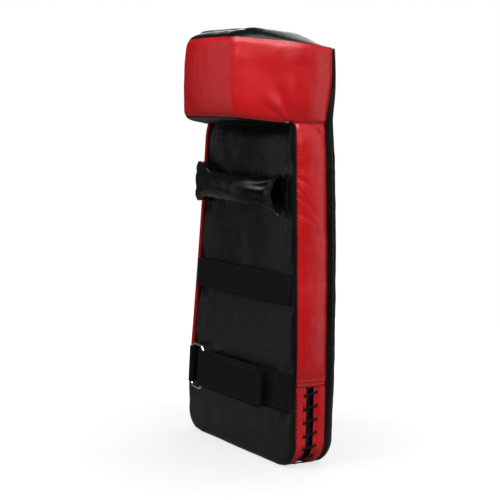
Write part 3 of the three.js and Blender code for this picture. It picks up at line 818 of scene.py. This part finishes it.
def flapFace(seam, edge, holes):
    def place(u, v):
        along = rim.length * u
        high = rim.at(along)
        turned = ease((high.y - 0.034) / 0.03) if high.x < 0 and seam < edge else 0.0      # at the left edge
        part = crowd(v, 1.4)
        share = part * (1 - turned) + max((part - gusset["turned"]) / (1 - gusset["turned"]), 0) * turned
        pull = 0.0
        for hole in holes:
            pull += near(along - hole, 0.0032)
        inward = 0.0007 * (pull - 0.4) * ease((share - 0.6) / 0.4)       # the edge is drawn in at a hole
        y = seam + (edge - seam) * share + math.copysign(inward, seam - edge)
        ends = min(along, rim.length - along)
        depth = flapDepth(share) + seamDent(abs(y - seam)) + seamDent(ends) * 0.8
        hem = ease((share - 0.93) / 0.07) * 0.0008
        depth += 0.0005 * pull * near(share - lacing["holeShare"], 0.12) + hem
        depth -= 0.00035 * ripple((along, y, 0), 0.012, 21)
        spot = onRim(along, y, max(depth, 0.0002))
        if turned and part < gusset["turned"]:
            angle = math.pi / 2 * (1 - part / gusset["turned"])
            proud, reach = gusset["proud"], pad["edgeReach"]
            forward = (pad["edgeRoll"] + proud) * math.sin(angle) + leftSwell(high.y) * ease(angle / 0.6)
            over = onRim(along, seam - forward, reach - (reach + proud) * math.cos(angle))
            spot = spot.lerp(over, turned)
        return spot
    return place


def rimInside(centre):
    return Vector((max(min(centre.x, 0.074), -0.074), centre.y, max(centre.z, 0.026)))


armFlap = flapFace(pad["armSeam"], lacing["armEdge"], armHoles)
strikeFlap = flapFace(pad["strikeSeam"], lacing["strikeEdge"], strikeHoles)
for word, face in (("arm", armFlap), ("strike", strikeFlap)):
    finishPiece(layOut(300, 22, face, rimInside, lacing["hem"]), f"laceFlap{word.title()}", redLeather,
                "red_leather", "pad", [f"lace_flap_{word}"])


def tongueFace(u, v):
    along = 0.001 + (rim.length - 0.002) * u
    y = lacing["tongueFrom"] + (lacing["tongueTo"] - lacing["tongueFrom"]) * v
    depth = lacing["tongueDepth"] - 0.0012 * swell(v) - 0.0007 * ripple((along, y, 0), 0.008, 23)
    return onRim(along, y, depth)


finishPiece(layOut(260, 10, tongueFace, rimInside, lacing["tongueWall"]), "laceTongue", blackLeather,
            "black_leather", "pad", ["lace_tongue"])


# a cord or wire along points; wide and thin are its half sizes
def sweep(points, wide, thin, sides, facing, closed=False):
    bm = bmesh.new()
    count = len(points)
    frames = []
    for index, point in enumerate(points):
        if closed:
            ahead = points[(index + 1) % count] - points[index - 1]
        else:
            ahead = points[min(index + 1, count - 1)] - points[max(index - 1, 0)]
        ahead.normalize()
        up = facing(index)
        up = (up - ahead * up.dot(ahead)).normalized()
        frames.append(Matrix((ahead.cross(up), up, ahead)).transposed().to_4x4())
        frames[-1].translation = point
    ring = bmesh.ops.create_circle(bm, cap_ends=False, radius=1, segments=sides)["verts"]
    bmesh.ops.scale(bm, vec=(wide, thin, 1), verts=ring)
    bmesh.ops.transform(bm, matrix=frames[0], verts=ring)
    edges = firstEdges = bm.edges[:]
    for before, after in zip(frames, frames[1:]):
        grown = bmesh.ops.extrude_edge_only(bm, edges=edges)["geom"]
        edges = [item for item in grown if isinstance(item, bmesh.types.BMEdge)]
        verts = [item for item in grown if isinstance(item, bmesh.types.BMVert)]
        bmesh.ops.transform(bm, matrix=after @ before.inverted(), verts=verts)
    if closed:
        bmesh.ops.bridge_loops(bm, edges=firstEdges + edges)
    else:
        bmesh.ops.holes_fill(bm, edges=firstEdges + edges, sides=0)
    bmesh.ops.recalc_face_normals(bm, faces=bm.faces[:])
    return bm


# a smooth line through points, with steps between each pair
def smoothLine(points, steps):
    line = []
    for index in range(len(points) - 1):
        a, b = points[max(index - 1, 0)], points[index]
        c, d = points[index + 1], points[min(index + 2, len(points) - 1)]
        for step in range(steps):
            t = step / steps
            slope, bend, twist = c - a, 2 * a - 5 * b + 4 * c - d, 3 * b - 3 * c + d - a
            line.append(0.5 * (2 * b + slope * t + bend * t * t + twist * t ** 3))
    return line + [points[-1]]


# over both flaps from hole to hole, then back behind the slit to the next hole
def laceLine():
    over = flapDepth(lacing["holeShare"]) - lacing["cordThin"] - 0.0001
    under = lacing["sink"] + lacing["hem"] + lacing["cordThin"] + 0.0004
    armY, strikeY = lacing["armHole"], lacing["strikeHole"]
    points = []
    for here, there in zip(armHoles, strikeHoles):
        if points:
            points.append(onRim(here - 0.002, 0.0165, under))
        points.append(onRim(here, armY - 0.0002, over + 0.0016))
        points.append(onRim(here - 0.0006, armY + 0.0012, over))
        points.append(onRim((here + there) / 2, (armY + strikeY) / 2, over + 0.0003))
        points.append(onRim(there + 0.0006, strikeY - 0.0012, over))
        points.append(onRim(there, strikeY + 0.0002, over + 0.0016))
        points.append(onRim(there + 0.003, 0.0195, under))
    return smoothLine(points, 5)


lacePoints = laceLine()


def rimOut(index):
    point = lacePoints[index]
    return (point - rimInside(point)).normalized()


finishPiece(sweep(lacePoints, lacing["cordWide"], lacing["cordThin"], 8, rimOut), "lace", laceCord,
            "lace_cord", "pad", ["lace"], sharp=80)

# a flattened black ball stands for each hole: it paints the shade inside the hole, and the black cord and
# tongue seen through it
holes = bmesh.new()
holeSize = Matrix.Diagonal((lacing["holeWide"], lacing["holeWide"] * 1.25, lacing["holeDeep"], 1))
for alongs, y in ((armHoles, lacing["armHole"]), (strikeHoles, lacing["strikeHole"])):
    for along in alongs:
        out = rim.out(along)
        turn = Vector((out.x, 0, out.y)).to_track_quat("Z", "Y").to_matrix().to_4x4()
        turn.translation = onRim(along, y, flapDepth(lacing["holeShare"]) + lacing["holeDeep"])
        bmesh.ops.create_uvsphere(holes, u_segments=10, v_segments=6, radius=1, matrix=turn @ holeSize)
finishPiece(holes, "laceHoles", laceCord, "lace_cord", "pad", sharp=80)
laceLength = sum((b - a).length for a, b in zip(lacePoints, lacePoints[1:]))
print("laced end made, lace length", round(laceLength, 3))

# sewing

sewing = {
    "pitch": 0.0039, "long": 0.00145, "thick": 0.00045, "redPitch": 0.0031, "redLong": 0.0011,
    "boxPitch": 0.0027, "boxLong": 0.00105, "boxIn": 0.0018, "tackPitch": 0.0019, "tackLong": 0.0008,
}


# stitches along points, each lying on the surface that faces out
def stitchRow(bm, points, outs, pitch, long):
    thick, walked, due = sewing["thick"], 0.0, pitch / 2
    for index in range(len(points) - 1):
        start, end = points[index], points[index + 1]
        length = (end - start).length
        while due <= walked + length:
            share = (due - walked) / length
            spot = start.lerp(end, share)
            out = outs[index].lerp(outs[index + 1], share).normalized()
            ahead = (end - start).normalized()
            ahead = Matrix.Rotation(rng.uniform(-0.09, 0.09), 3, out) @ ahead
            frameTurn = Matrix((ahead, out.cross(ahead), out)).transposed().to_4x4()
            frameTurn.translation = spot
            size = Matrix.Diagonal((long * rng.uniform(0.92, 1.08), thick, thick, 1))
            bmesh.ops.create_uvsphere(bm, u_segments=7, v_segments=5, radius=1,
                                      matrix=frameTurn @ size @ Matrix.Rotation(math.pi / 2, 4, "Y"))
            due += pitch
        walked += length


# every row starts as its own small mesh, which keeps the many stitches quick to make
def addRow(bm, points, outs, pitch=sewing["pitch"], long=sewing["long"]):
    row, mesh = bmesh.new(), bpy.data.meshes.new("row")
    stitchRow(row, points, outs, pitch, long)
    row.to_mesh(mesh)
    row.free()
    bm.from_mesh(mesh)
    bpy.data.meshes.remove(mesh)


def rowOn(bm, count, spot, **sizes):
    placed = [spot(index / count) for index in range(count + 1)]
    addRow(bm, [point for point, out in placed], [out for point, out in placed], **sizes)


# stitching from corner to corner, given as x and z, on a face that looks along y
def stitchPath(bm, corners, y):
    outs = [Vector((0, -1, 0))] * 2
    for (x0, z0), (x1, z1) in zip(corners, corners[1:]):
        addRow(bm, [Vector((x0, y, z0)), Vector((x1, y, z1))], outs, sewing["boxPitch"], sewing["boxLong"])


def boxOf(x0, x1, middle, half):
    low, high = middle - half, middle + half
    return [(x0, low), (x1, low), (x1, high), (x0, high), (x0, low)]


# the point and the outward direction at a place on a shaped sheet
def riding(place, u, v, inside, lift=0.0002):
    here = place(u, v)
    du = place(min(u + 0.004, 1), v) - place(max(u - 0.004, 0), v)
    dv = place(u, min(v + 0.004, 1)) - place(u, max(v - 0.004, 0))
    out = du.cross(dv).normalized()
    if out.dot(here - inside(here)) < 0:
        out = -out
    return here + out * lift, out


blackSewing = bmesh.new()
for side in (1, -1):
    face = gussetFace(side)
    for edge in ((0.055, 0.945) if side > 0 else (0.035, 0.96)):
        rowOn(blackSewing, 160, lambda t: riding(face, edge, 0.01 + 0.98 * t, gussetMiddle))
for face in (armFlap, strikeFlap):
    rowOn(blackSewing, 300, lambda t: riding(face, 0.004 + 0.992 * t, 0.125, rimInside))
finishPiece(blackSewing, "blackSewing", blackThread, "black_leather", "pad", sharp=80)

redSewing = bmesh.new()
for side in (1, -1):
    face = gussetFace(side)
    for row in (0.024, 0.052):
        rowOn(redSewing, 40, lambda t: riding(face, 0.08 + 0.84 * t, row, gussetMiddle),
              pitch=sewing["redPitch"], long=sewing["redLong"])
finishPiece(redSewing, "redSewing", redThread, "red_leather", "pad", sharp=80)
print("sewing made")

# grip

grip = {
    "height": 0.2585, "slant": math.tan(math.radians(2.6)), "middle": -0.023, "tall": 0.0134, "deep": 0.0112,
    "rollEnd": 0.046, "lap": 0.003, "seam": 0.0792, "earTall": 0.0203, "wall": 0.0016, "core": 0.8,
    "creases": ((0.5, 1.0), (-0.35, 0.8), (-1.1, 0.6), (1.2, 0.5)), "creaseDepth": 0.0013,
    "ends": {1: {"mouth": 0.0722, "y": -0.0116, "deep": 0.0084, "oblique": 0.0052, "point": 0.35},
             -1: {"mouth": 0.07, "y": -0.0152, "deep": 0.0076, "oblique": 0.0035, "point": -0.45}},
}


def gripEnd(x):
    return grip["ends"][1 if x >= 0 else -1]


# a section of the roll at x: centre, half height, half depth, and how pointed it is
def gripSection(x):
    away, end = abs(x), gripEnd(x)
    nearing = ease((away - 0.02) / (end["mouth"] - 0.02))
    flare = ease((away - 0.044) / (end["mouth"] - 0.042)) ** 1.5
    y = grip["middle"] + (end["y"] - grip["middle"]) * nearing
    centre = Vector((x, y, grip["height"] - x * grip["slant"]))
    tall = grip["tall"] + (grip["earTall"] - grip["tall"]) * flare
    deep = grip["deep"] + (end["deep"] - grip["deep"]) * nearing
    return centre, tall, deep, 1 + end["point"] * flare


def gripPoint(x, angle, scale=1.0):
    centre, tall, deep, point = gripSection(x)
    up, out = math.sin(angle), math.cos(angle)
    spot = centre + Vector((0, -deep * math.copysign(abs(out) ** point, out), tall * up)) * scale
    away = abs(x)
    fold = 0.0
    for start, strength in grip["creases"]:       # creases run in from the sewn ends
        fold += dent(angle - start, strength, 0.16)
    fold *= grip["creaseDepth"] * ease((away - 0.034) / 0.02)
    fold -= 0.0007 * ripple((x, math.cos(angle) * 0.02, math.sin(angle) * 0.02), 0.016, 31)
    outward = Vector((0, -math.copysign(abs(out), out), up)).normalized()
    short = gripEnd(x)["oblique"] * out * ease((away - 0.048) / 0.018)       # the front lip stops short
    spot.x -= math.copysign(short, x)
    return spot - outward * fold * scale


# a ring of the roll is a circle of points; u goes round it and v along it
def tube(rings, around, x0, x1, scale=1.0):
    bm = flatGrid(around, rings)
    for vert in bm.verts:
        angle = 2 * math.pi * (vert.co.x + 0.5) - math.pi
        vert.co = gripPoint(x0 + (x1 - x0) * (vert.co.y + 0.5), angle, scale)
    bmesh.ops.remove_doubles(bm, verts=bm.verts[:], dist=1e-6)
    bmesh.ops.recalc_face_normals(bm, faces=bm.faces[:])
    return bm


def closeEnds(bm):
    bmesh.ops.holes_fill(bm, edges=[edge for edge in bm.edges if edge.is_boundary], sides=0)
    bmesh.ops.recalc_face_normals(bm, faces=bm.faces[:])


# the roll runs a little way into its flared ends
roll = tube(90, 56, -grip["rollEnd"] - grip["lap"], grip["rollEnd"] + grip["lap"], 0.985)
closeEnds(roll)
finishPiece(roll, "gripRoll", blackLeather, "black_leather", "grip", ["grip_cover", "grip_webbing"], fill=0.7)
core = tube(40, 28, -grip["rollEnd"], grip["rollEnd"], grip["core"])
closeEnds(core)
finishPiece(core, "gripCore", softFoam, "soft_foam", "grip", ["grip_foam"], fill=0.6)

for side, word in ((1, "right"), (-1, "left")):
    # the roll's end flares open into a tall mouth
    mouth = grip["ends"][side]["mouth"]
    ear = tube(26, 56, side * grip["rollEnd"], side * mouth)
    giveWall(ear, grip["wall"])
    ear = finishPiece(ear, f"gripEar{word.title()}", blackLeather, "black_leather",
                      stands=[f"grip_patch_{word}"])

    # its back layer runs on to the sewn seam
    def backFace(u, v):
        away = grip["rollEnd"] - 0.004 + (grip["seam"] - grip["rollEnd"] + 0.004) * u
        x = side * away
        centre, tall, deep = gripSection(min(away, mouth) * side)[:3]
        tall = tall * 1.01
        start = centre.y + deep - 0.0012
        reached = ease((away - mouth + 0.004) / (grip["seam"] - mouth + 0.004))
        y = start + (pad["armSeam"] + 0.0003 - start) * reached
        y -= dent(away - mouth - 0.002, 0.0012, 0.005) * (1 - abs(2 * v - 1))
        y += 0.0006 * math.sin((v - 0.5) * 9) * ease((away - 0.06) / 0.01)
        return Vector((x, y, grip["height"] - x * grip["slant"] + tall * (2 * v - 1)))
    back = layOut(28, 30, backFace, toward(0, 0.05, grip["height"]), grip["wall"])
    back = finishPiece(back, f"gripBack{word.title()}", blackLeather, "black_leather")
    for piece in (ear, back):
        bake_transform(piece)
print("grip made")

# bands and strap

band = {
    "height": 0.1675, "wide": 0.0295, "thick": 0.0016, "leftForward": 0.0034,
    "line": ((0.0862, 0.0012), (0.0848, -0.0016), (0.081, -0.0042), (0.068, -0.0066), (0.045, -0.0086),
             (0, -0.0098)),
}


# a flat strip along a line seen from above, upright across it; its thickness grows to the line's right
def strip(line, middle, wide, thick, rows=14, bowed=0.0, seed=0.0, wave=0.0003, step=0.002):
    track = Track(line)
    bm = flatGrid(max(int(track.length / step), 8), rows, (track.length, wide))
    for vert in bm.verts:
        u, v = vert.co.x + 0.5, vert.co.y + 0.5
        along, side = track.length * u, 2 * v - 1
        spot, out = track.at(along), track.out(along, 0.001)
        shift = bowed * (1 - side * side) + wave * ripple((along, 0, v * wide), 0.02, seed)
        spot = spot + out * shift
        vert.co = Vector((spot.x, spot.y, middle + wide / 2 * side))
    bmesh.ops.reverse_faces(bm, faces=bm.faces[:])
    giveWall(bm, thick)
    edges = [edge for edge in bm.edges if edge.calc_face_angle(0) > 1.2]
    bmesh.ops.bevel(bm, geom=edges, affect="EDGES", offset=thick * 0.28, segments=2, profile=0.5, material=-1)
    return bm


def mirrored(points):
    return [Vector(point) for point in points] + [Vector((-x, y)) for x, y in reversed(points[:-1])]


bandLine = smoothLine(mirrored(band["line"]), 6)
for point in bandLine:
    point.y -= band["leftForward"] * ease((-point.x - 0.045) / 0.035)
tape = strip(bandLine, band["height"], band["wide"], band["thick"], bowed=0.0004, seed=41)
finishPiece(tape, "forearmBand", elastic, "elastic", "pad", ["forearm_band"])

strap = {
    "height": (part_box("strap_run")[0].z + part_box("strap_run")[1].z) / 2,
    "wide": 0.037, "thick": 0.0016, "patchWide": 0.034, "patchThick": 0.0015,
    "foldX": -0.06, "foldY": -0.01175, "foldReach": 0.00195,
    "base": ((0.0925, -0.0001), (0.0905, -0.0022), (0.0875, -0.0044), (0.082, -0.0049), (0.0622, -0.005)),
    "run": ((0.0622, -0.005), (0.056, -0.0056), (0.048, -0.0083), (0.042, -0.0095), (0.034, -0.0098),
            (-0.05, -0.0098), (-0.06, -0.0098)),
    "tab": ((-0.088, -0.0034), (-0.084, -0.0041), (-0.0812, -0.0055), (-0.0803, -0.0083), (-0.0816, -0.0108),
            (-0.08378, -0.01185), (-0.0861, -0.0108), (-0.0873, -0.0083), (-0.0878, -0.0058),
            (-0.09, -0.0028), (-0.0925, -0.0002)),
    "flap": (-0.058, -0.05, 0, 0.045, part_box("strap_flap")[1].x),
}


def foldArc(first, last, steps=5):
    x, y, reach = strap["foldX"], strap["foldY"], strap["foldReach"]
    turns = [first + (last - first) * step / steps for step in range(steps + 1)]
    return [(x - reach * math.sin(turn), y + reach * math.cos(turn)) for turn in turns]


def strapPiece(name, points, body, nodes, tape, seed, step=0.001):
    material, slot, wide, thick = tape
    line = smoothLine([Vector(point) for point in points], 5)
    made = strip(line, strap["height"], wide, thick, seed=seed, wave=0.0002, step=step)
    return finishPiece(made, name, material, slot, body, nodes)


quarter = math.pi / 2
strapTape = webbing, "webbing", strap["wide"], strap["thick"]
tabTape = webbing, "webbing", strap["wide"], strap["patchThick"]
patchTape = hookTape, "hook_tape", strap["patchWide"], strap["patchThick"]
strapPiece("strapBase", strap["base"], "pad", ["strap_base"], strapTape, 43)
strapPiece("strapRun", strap["run"] + tuple(foldArc(0.3, quarter)), "strap", ["strap_run"], strapTape, 44)
flapLine = foldArc(quarter, math.pi - 0.2) + [(x, strap["foldY"] - strap["foldReach"]) for x in strap["flap"]]
flap = strapPiece("strapFlap", flapLine, None, ["strap_fold", "strap_flap"], strapTape, 45)
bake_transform(flap)
strapPiece("ringTab", strap["tab"], "pad", ["ring_tab"], tabTape, 46, 0.0008)
loopBox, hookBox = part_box("loop_patch"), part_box("hook_patch")
loopLine = [(x, loopBox[0].y) for x in (loopBox[1].x, 0.02, 0, -0.02, loopBox[0].x)]
strapPiece("loopPatch", loopLine, "strap", ["loop_patch"], patchTape, 47, 0.002)
hookLine = [(x, hookBox[1].y) for x in (hookBox[0].x, 0, 0.02, 0.04, hookBox[1].x)]
strapPiece("hookPatch", hookLine, "flap", ["hook_patch"], patchTape, 48, 0.002)

ring = {
    "near": (-0.057, -0.01175), "far": (-0.08378, -0.0083), "half": 0.0215, "corner": 0.0065, "arch": 0.0009,
    "wire": 0.0015,
}


# a rectangle with round corners and slightly arched long bars
def ringLine():
    near, far = Vector(ring["near"]), Vector(ring["far"])
    middle, reach = (near + far) / 2, (near - far).length / 2
    points = []
    for turn, (across, up) in enumerate(((1, 1), (-1, 1), (-1, -1), (1, -1))):
        for step in range(9):
            angle = (turn + step / 8) * quarter
            x = across * (reach - ring["corner"]) + ring["corner"] * math.cos(angle)
            z = up * (ring["half"] - ring["corner"]) + ring["corner"] * math.sin(angle)
            z += up * ring["arch"] * (1 - (x / reach) ** 2)
            spot = middle + (near - far).normalized() * x
            points.append(Vector((spot.x, spot.y, strap["height"] + z)))
    return points


wire = sweep(ringLine(), ring["wire"], ring["wire"], 14, lambda index: Vector((0, -1, 0)), closed=True)
finishPiece(wire, "strapRing", steel, "steel", "ring", ["strap_ring"], sharp=80)

padSewing, strapSewing, flapSewing = bmesh.new(), bmesh.new(), bmesh.new()
level = strap["height"]
baseBox = boxOf(0.0655, 0.081, level, 0.0145)
for corners in (baseBox, [baseBox[0], baseBox[2]], [baseBox[1], baseBox[3]]):
    stitchPath(padSewing, corners, -0.0053)
bandTrack = Track(bandLine)
for along in (0.0075, 0.0095, bandTrack.length - 0.0095, bandTrack.length - 0.0075):      # bar tacks
    spot, out = bandTrack.at(along), bandTrack.out(along, 0.001)
    spot = spot + out * 0.0005
    ends = [Vector((spot.x, spot.y, band["height"] + half * (band["wide"] / 2 - 0.002))) for half in (-1, 1)]
    addRow(padSewing, ends, [Vector((out.x, out.y, 0))] * 2, sewing["tackPitch"], sewing["tackLong"])
for sewn, (low, high), face in (
    (strapSewing, loopBox, loopBox[0].y),
    (flapSewing, hookBox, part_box("strap_flap")[0].y),
):
    stitchPath(sewn, boxOf(low.x + sewing["boxIn"], high.x - sewing["boxIn"], level, 0.0152), face - 0.0002)
finishPiece(padSewing, "tackSewing", blackThread, "webbing", "pad", sharp=80)
finishPiece(strapSewing, "loopSewing", blackThread, "webbing", "strap", sharp=80)
finishPiece(flapSewing, "flapSewing", blackThread, "webbing", "flap", sharp=80)
print("strap made")

# floor and light

floorMesh = bmesh.new()
bmesh.ops.create_circle(floorMesh, cap_ends=True, radius=0.95, segments=96)
floorData = bpy.data.meshes.new("floor")
floorMesh.to_mesh(floorData)
floorMesh.free()
floor = bpy.data.objects.new("floor", floorData)
bpy.context.collection.objects.link(floor)
floor.location.z = -0.0002
floorSurface = {"Base Color": rgb(0.14, 0.14, 0.14), "Roughness": 0.9, "Specular IOR Level": 0.1}
# painted light: the floor's white is its own glow, seen by the camera only, growing from 0.72 by the pad to
# full white past half a metre to stand in for lamp light
glowingFloor = Look("glowingFloor", floorSurface | {"Emission Strength": 1.0})
far = glowingFloor.node("VectorMath", {"operation": "LENGTH"}, {0: glowingFloor.place()}, output="Value")
glow = glowingFloor.blended(glowingFloor.between(far, 0, 1, 0.05, 0.5), rgb(0.72, 0.72, 0.72), rgb(1, 1, 1))
direct = glowingFloor.node("LightPath", output="Is Camera Ray")
glowingFloor.feed("Emission Color", glowingFloor.blended(direct, rgb(0.04, 0.04, 0.04), glow))      # painted glow: white to the camera, only a faint glow as a light
floorData.materials.append(glowingFloor.material)

world = bpy.data.worlds.new("studio")
bpy.context.scene.world = world
world.use_nodes = True
sky = world.node_tree
seen = sky.nodes.new("ShaderNodeLightPath")
strength = sky.nodes.new("ShaderNodeMapRange")
strength.inputs[3].default_value, strength.inputs[4].default_value = 0.035, 1.0     # dim light, white behind
sky.links.new(seen.outputs["Is Camera Ray"], strength.inputs[0])
sky.links.new(strength.outputs[0], sky.nodes["Background"].inputs["Strength"])
sky.nodes["Background"].inputs["Color"].default_value = (1, 1, 1, 1)
bpy.context.scene.view_settings.view_transform = "Standard"

lights = {
    "leftBox": {"azimuth": -43, "elevation": 12, "distance": 1.5, "size": (0.16, 1.2), "power": 1.3},
    "rightBox": {"azimuth": 140, "elevation": 12, "distance": 1.5, "size": (0.5, 1.3), "power": 3.0},
    "rimBox": {"azimuth": 232, "elevation": 24, "distance": 1.6, "size": (0.9, 0.5), "power": 6},
    "sideFill": {"azimuth": 82, "elevation": 48, "distance": 1.8, "size": (1.3, 1.3), "power": 31},
    "frontFill": {"azimuth": 8, "elevation": 50, "distance": 1.8, "size": (1.3, 1.3), "power": 29},
    "backFill": {"azimuth": 200, "elevation": 45, "distance": 2.0, "size": (1.2, 1.2), "power": 16},
}
for name, facts in lights.items():
    away = wayTo(facts)
    lamp = bpy.data.lights.new(name, "AREA")
    lamp.shape, lamp.energy = "RECTANGLE", facts["power"]
    lamp.size, lamp.size_y = facts["size"]
    lampObject = bpy.data.objects.new(name, lamp)
    bpy.context.collection.objects.link(lampObject)
    lampObject.location = Vector((0, 0, 0.2)) + away * facts["distance"]
    lampObject.rotation_mode = "QUATERNION"
    lampObject.rotation_quaternion = (-away).to_track_quat("-Z", "Y")
print("light set")

slots = {
    "black_leather": blackLeather, "red_leather": redLeather, "webbing": webbing, "elastic": elastic,
    "hook_tape": hookTape, "lace_cord": laceCord, "steel": steel,
    "firm_foam": firmFoam, "soft_foam": softFoam,
}
for part in frame["record"]["subparts"]:
    node = frame["nodes"][part["node"]]
    node.data.materials.clear()
    node.data.materials.append(slots[part["material_slot"]])
